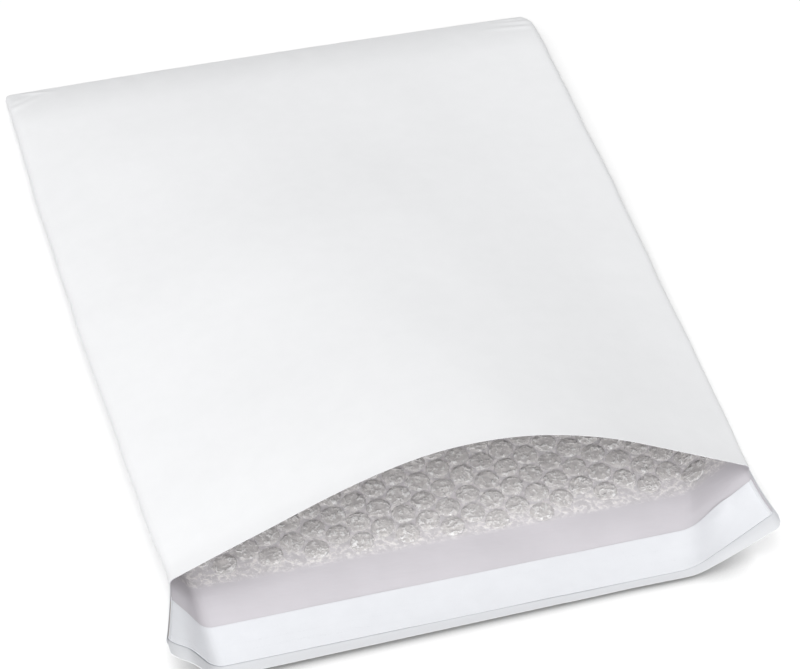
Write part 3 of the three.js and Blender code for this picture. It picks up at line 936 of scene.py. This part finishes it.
def liner_paper(look):
    """Satin release paper: smooth, bluish white, with the faint marks of its roll."""
    material, sheet, shader, place = new_material("liner_paper")
    fibre = sheet.shared(paper_fibre, Vector=place, Fibre_scale=2600.0).outputs
    roll = sheet.noise(sheet.stretched(place, (12.0, 500.0, 12.0)), 1.0, 2.0, 0.5)
    tone = sheet.blend(fibre["Cloud"], rgba(look.liner_tint), rgba(look.liner_tint, 0.97))
    rough = sheet.maths("ADD", sheet.span(roll, 0.3, 0.7, 0.30, 0.40), fibre["Roughness"])
    normal = sheet.bump(fibre["Height"], 0.2, 0.00004)
    sheet.fill(shader, Base_Color=tone, Roughness=rough, Normal=normal)
    sheet.fill(shader, Coat_Weight=0.15, Coat_Roughness=0.3)
    return material


def tacky_adhesive(look):
    """Pale amber adhesive with the pulled texture of hot melt."""
    material, sheet, shader, place = new_material("tacky_adhesive")
    pull = sheet.noise(sheet.stretched(place, (90.0, 420.0, 90.0)), 1.0, 3.0, 0.6)
    streaks = sheet.span(pull, 0.35, 0.65, 0.0, 1.0)
    tone = sheet.blend(streaks, rgba(look.adhesive_tint), rgba(look.adhesive_tint, 0.85))
    rough = sheet.span(pull, 0.3, 0.7, 0.18, 0.32)
    sheet.fill(shader, Base_Color=tone, Roughness=rough, Normal=sheet.bump(pull, 0.5, 0.0001))
    return material


def pale_floor(look):
    """Plain pale floor with painted shade in its colour where the envelope stands close over it: most of
    all in front of the mouth, less along its right side and hardly at all along its left."""
    material, sheet, shader, place = new_material("pale_floor")
    cloud = sheet.noise(place, 3.0, 2.0, 0.5)
    tone = sheet.blend(cloud, rgba(look.floor_tint), rgba(look.floor_tint, 0.99))
    near = sheet.add("ShaderNodeAmbientOcclusion", {"samples": 8}, Distance=look.contact_reach)
    shade = sheet.span(near.outputs["AO"], 0.25, 0.96, look.contact, 0.0)
    axes = sheet.add("ShaderNodeSeparateXYZ", None, Vector=place)
    ahead = sheet.span(axes.outputs["Y"], -0.160, -0.135, 1.0, 0.0)
    beside = sheet.span(axes.outputs["X"], 0.040, 0.110, 0.12, 0.75)
    shade = sheet.maths("MULTIPLY", shade, sheet.maths("MAXIMUM", ahead, beside))
    # painted shade: the floor's own colour is darkened towards black close to the envelope
    tone = sheet.blend(shade, tone, (0.0, 0.0, 0.0, 1.0))
    sheet.fill(shader, Base_Color=tone, Roughness=0.9, Specular_IOR_Level=0.0)
    return material


# ---- operators ----


def pocket_loop():
    """The loop from the scene's own sizes."""
    scene = bpy.context.scene
    return PocketLoop(scene.envelope_shape, scene.envelope_cover)


class ENVELOPE_OT_cover(bpy.types.Operator):
    """Build the white paper cover"""

    bl_idname = "envelope.build_cover"
    bl_label = "Build Cover"

    def execute(self, context):
        loop, look = pocket_loop(), context.scene.envelope_cover
        rounding = 1.2 * MM

        def outer(y):
            """Whole padding, rounded off like a quarter ellipse over the last part of the seal."""
            past = clamp01((y - loop.closed + rounding) / rounding)
            return loop.padding(y) * np.sqrt(1 - 0.85 * past**2)

        def inner(y):
            """The padding less the paper."""
            return loop.padding(y) - look.thickness

        piece = make_bag(
            "paper_cover",
            loop,
            counts=(16, 14, 66, 30),
            front_edge=loop.front_end,
            lip_edge=loop.lip_end,
            ends=(loop.closed, loop.closed - loop.shape.seam_depth),
            depths=(outer, inner),
            lip_span=LIP_SPAN,
            material=cover_paper(look),
        )
        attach(piece, "root")
        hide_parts("outer_cover")
        return {"FINISHED"}


class ENVELOPE_OT_lining(bpy.types.Operator):
    """Build the film that carries the bubbles, with its smooth margin on the lip"""

    bl_idname = "envelope.build_lining"
    bl_label = "Build Lining Film"

    def execute(self, context):
        loop, look = pocket_loop(), context.scene.envelope_lining
        strip = context.scene.envelope_strip
        under_paper = loop.look.thickness + look.gap

        def front_edge(where):
            """Film's edge on the front panel, behind the paper's."""
            return loop.front_end(where) + look.setback * smoothstep(loop.front_arch(where) * 4)

        def lip_edge(where):
            """Film's end, hidden under the outer edge of the closing strip."""
            return loop.mouth - strip.start - strip.width + MM + loop.strip_course(strip, where)

        def outer(y):
            """Next to the cover."""
            return loop.padding(y) - under_paper

        def inner(y):
            """One film further in."""
            return loop.padding(y) - under_paper - look.film

        end = loop.closed - look.end_gap
        piece = make_bag(
            "lining_film",
            loop,
            counts=(14, 12, 60, 12),
            front_edge=front_edge,
            lip_edge=lip_edge,
            ends=(end, end - 0.5 * MM),
            depths=(outer, inner),
            lip_span=LIP_FILM_SPAN,
            material=lining_film(look),
        )
        places = np.empty(len(piece.data.vertices) * 3)
        piece.data.vertices.foreach_get("co", places)
        past_first_row = places[1::3] - loop.mouth - look.first_row
        add_attribute(piece, "bubbled", smoothstep(past_first_row / (3 * MM)))
        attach(piece, "root")
        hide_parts("bubble_lining")
        return {"FINISHED"}


class ENVELOPE_OT_bubbles(bpy.types.Operator):
    """Build the bubbles of both panels"""

    bl_idname = "envelope.build_bubbles"
    bl_label = "Build Bubbles"

    def execute(self, context):
        loop, look = pocket_loop(), context.scene.envelope_lining
        material = bubble_skin(look)
        edge = loop.mouth + look.bubble / 2
        # on the back panel they stop short of the lip, on the front panel behind the film's edge
        first_back = edge + look.first_row
        first_front = edge + loop.shape.arch_setback + look.setback + MM
        for name, panel, first_y, seed in (
            ("back_bubbles", loop.back, first_back, 5),
            ("front_bubbles", loop.front, first_front, 6),
        ):
            piece = make_bubbles(name, loop, look, panel, first_y, material, seed)
            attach(piece, "root")
        return {"FINISHED"}


def adhesive_depth(loop, scene):
    """Depth of the adhesive's outer skin: the padding less the paper, the film and their gaps."""
    lining, strip = scene.envelope_lining, scene.envelope_strip
    return loop.shape.pad - loop.look.thickness - lining.gap - lining.film - strip.gap


class ENVELOPE_OT_adhesive(bpy.types.Operator):
    """Build the adhesive, a band across the lip"""

    bl_idname = "envelope.build_adhesive"
    bl_label = "Build Adhesive"

    def execute(self, context):
        loop, look = pocket_loop(), context.scene.envelope_strip
        near = loop.mouth - look.start
        depth = adhesive_depth(loop, context.scene)

        def no_lift(b, y):
            """The adhesive follows the lip."""
            return b * 0

        piece = make_band(
            "adhesive",
            loop,
            look,
            reach=ADHESIVE_SPAN,
            rows_y=(near - look.width + look.inset, near - look.inset),
            depths=(depth, depth - look.adhesive),
            lift=no_lift,
            material=tacky_adhesive(look),
            columns=150,
            rows=9,
        )
        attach(piece, "root")
        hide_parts("adhesive_strip")
        return {"FINISHED"}


class ENVELOPE_OT_liner(bpy.types.Operator):
    """Build the release liner, the paper strip over the adhesive"""

    bl_idname = "envelope.build_liner"
    bl_label = "Build Release Liner"

    def execute(self, context):
        loop, look = pocket_loop(), context.scene.envelope_strip
        near = loop.mouth - look.start
        far = near - look.width
        depth = adhesive_depth(loop, context.scene) - look.adhesive - look.gap

        def lift(b, y):
            """A low blister at the right bend's inner edge, three radial wrinkles and slow ripples."""
            inner = clamp01((y - far) / look.width)
            blister = look.lift * np.exp(-(((b - 0.88) / 0.06) ** 2)) * inner**2
            fan = np.exp(-(((b - 0.92) / 0.02) ** 2)) * inner**3
            wrinkle = 0.22 * MM * np.cos((b - 0.92) * 420) * fan
            ripple = 0.10 * MM * soft_waves(b * 0.1, y, 31, 0.07, 0.02)
            return blister + wrinkle + ripple

        liner = make_band(
            "release_liner_paper",
            loop,
            look,
            reach=LINER_SPAN,
            rows_y=(far, near),
            depths=(depth, depth - look.thickness),
            lift=lift,
            material=liner_paper(look),
            columns=260,
            rows=19,
        )
        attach(liner, "root")
        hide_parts("release_liner")
        return {"FINISHED"}


class ENVELOPE_OT_stage(bpy.types.Operator):
    """Build the floor, the soft light and the camera"""

    bl_idname = "envelope.build_stage"
    bl_label = "Build Stage"

    def execute(self, context):
        look = context.scene.envelope_stage
        self.lay_floor(look)
        self.light_surround(context.scene, look)
        self.place_lamps(context.scene, look)
        self.place_camera(context.scene, look)
        context.scene.view_settings.view_transform = "Standard"
        return {"FINISHED"}

    def lay_floor(self, look):
        """A square floor just under the envelope."""
        side = np.array([-1.0, 1.0]) * look.floor / 2
        x, y = np.meshgrid(side, side)
        points = np.stack([x, y, x * 0 - 0.2 * MM], -1)
        floor, _ = make_piece("floor", points, [[0, 1, 3, 2]], (), pale_floor(look))

    def light_surround(self, scene, look):
        """A white surround, brighter overhead than at the horizon."""
        world = bpy.data.worlds.new("surround")
        world.use_nodes = True
        sky = Sheet(world.node_tree)
        heading = sky.add("ShaderNodeTexCoord").outputs["Generated"]
        height = sky.add("ShaderNodeSeparateXYZ", None, Vector=heading).outputs["Z"]
        strength = sky.span(height, 0.0, 1.0, look.horizon, look.zenith)
        sky.fill(world.node_tree.nodes["Background"], Color=(1.0, 1.0, 1.0, 1.0), Strength=strength)
        scene.world = world

    def place_lamps(self, scene, look):
        """A soft lamp over the mouth and a low wide light from the front, both aimed at the origin."""
        key = bpy.data.lights.new("key", "AREA")
        key.energy, key.size = look.key, look.key_size
        fill = bpy.data.lights.new("fill", "SUN")
        fill.energy, fill.angle = look.fill, look.fill_spread
        for light, place in ((key, Vector(look.key_place)), (fill, Vector(look.fill_place))):
            lamp = bpy.data.objects.new(light.name, light)
            lamp.location = place
            lamp.rotation_euler = place.to_track_quat("Z", "Y").to_euler()
            scene.collection.objects.link(lamp)

    def place_camera(self, scene, look):
        """A camera on a sphere round its target."""
        flat = math.cos(look.elevation)
        sideways, forwards = math.sin(look.azimuth) * flat, -math.cos(look.azimuth) * flat
        back = Vector((sideways, forwards, math.sin(look.elevation)))
        aim = (-back).to_track_quat("-Z", "Y").to_matrix() @ Matrix.Rotation(look.roll, 3, "Z")
        camera = bpy.data.objects.new("camera", bpy.data.cameras.new("camera"))
        camera.data.lens = look.lens
        camera.matrix_world = Matrix.Translation(Vector(look.target) + back * look.distance) @ aim.to_4x4()
        scene.collection.objects.link(camera)
        scene.camera = camera


PIECES = (
    (ENVELOPE_OT_cover, "envelope_cover"),
    (ENVELOPE_OT_lining, "envelope_lining"),
    (ENVELOPE_OT_bubbles, None),
    (ENVELOPE_OT_adhesive, "envelope_strip"),
    (ENVELOPE_OT_liner, None),
    (ENVELOPE_OT_stage, "envelope_stage"),
)


class ENVELOPE_PT_panel(bpy.types.Panel):
    """Lists the envelope's pieces with their sizes and colours"""

    bl_idname = "ENVELOPE_PT_panel"
    bl_label = "Padded Envelope"
    bl_space_type = "VIEW_3D"
    bl_region_type = "UI"
    bl_category = "Envelope"

    def draw(self, context):
        self.list_properties(context.scene.envelope_shape, "Envelope")
        for operator, group in PIECES:
            if group:
                self.list_properties(getattr(context.scene, group), operator.bl_label)
            self.layout.operator(operator.bl_idname)

    def list_properties(self, group, title):
        """One box with every property of a group."""
        box = self.layout.box()
        box.label(text=title)
        for key in group.__annotations__:
            box.prop(group, key)


GROUPS = {
    "envelope_shape": EnvelopeShape,
    "envelope_cover": CoverLook,
    "envelope_lining": LiningLook,
    "envelope_strip": StripLook,
    "envelope_stage": StageLook,
}
CLASSES = (*GROUPS.values(), *(operator for operator, _ in PIECES), ENVELOPE_PT_panel)


def register():
    """Registers the classes and puts the property groups on the scene."""
    for cls in CLASSES:
        bpy.utils.register_class(cls)
    for name, group in GROUPS.items():
        setattr(bpy.types.Scene, name, PointerProperty(type=group))


def unregister():
    """Takes them off again."""
    for name in GROUPS:
        delattr(bpy.types.Scene, name)
    for cls in reversed(CLASSES):
        bpy.utils.unregister_class(cls)


def main():
    """Builds every piece and the stage."""
    register()
    bpy.ops.envelope.build_stage()
    bpy.ops.envelope.build_cover()
    bpy.ops.envelope.build_lining()
    bpy.ops.envelope.build_bubbles()
    bpy.ops.envelope.build_adhesive()
    bpy.ops.envelope.build_liner()


if __name__ == "__main__":
    main()
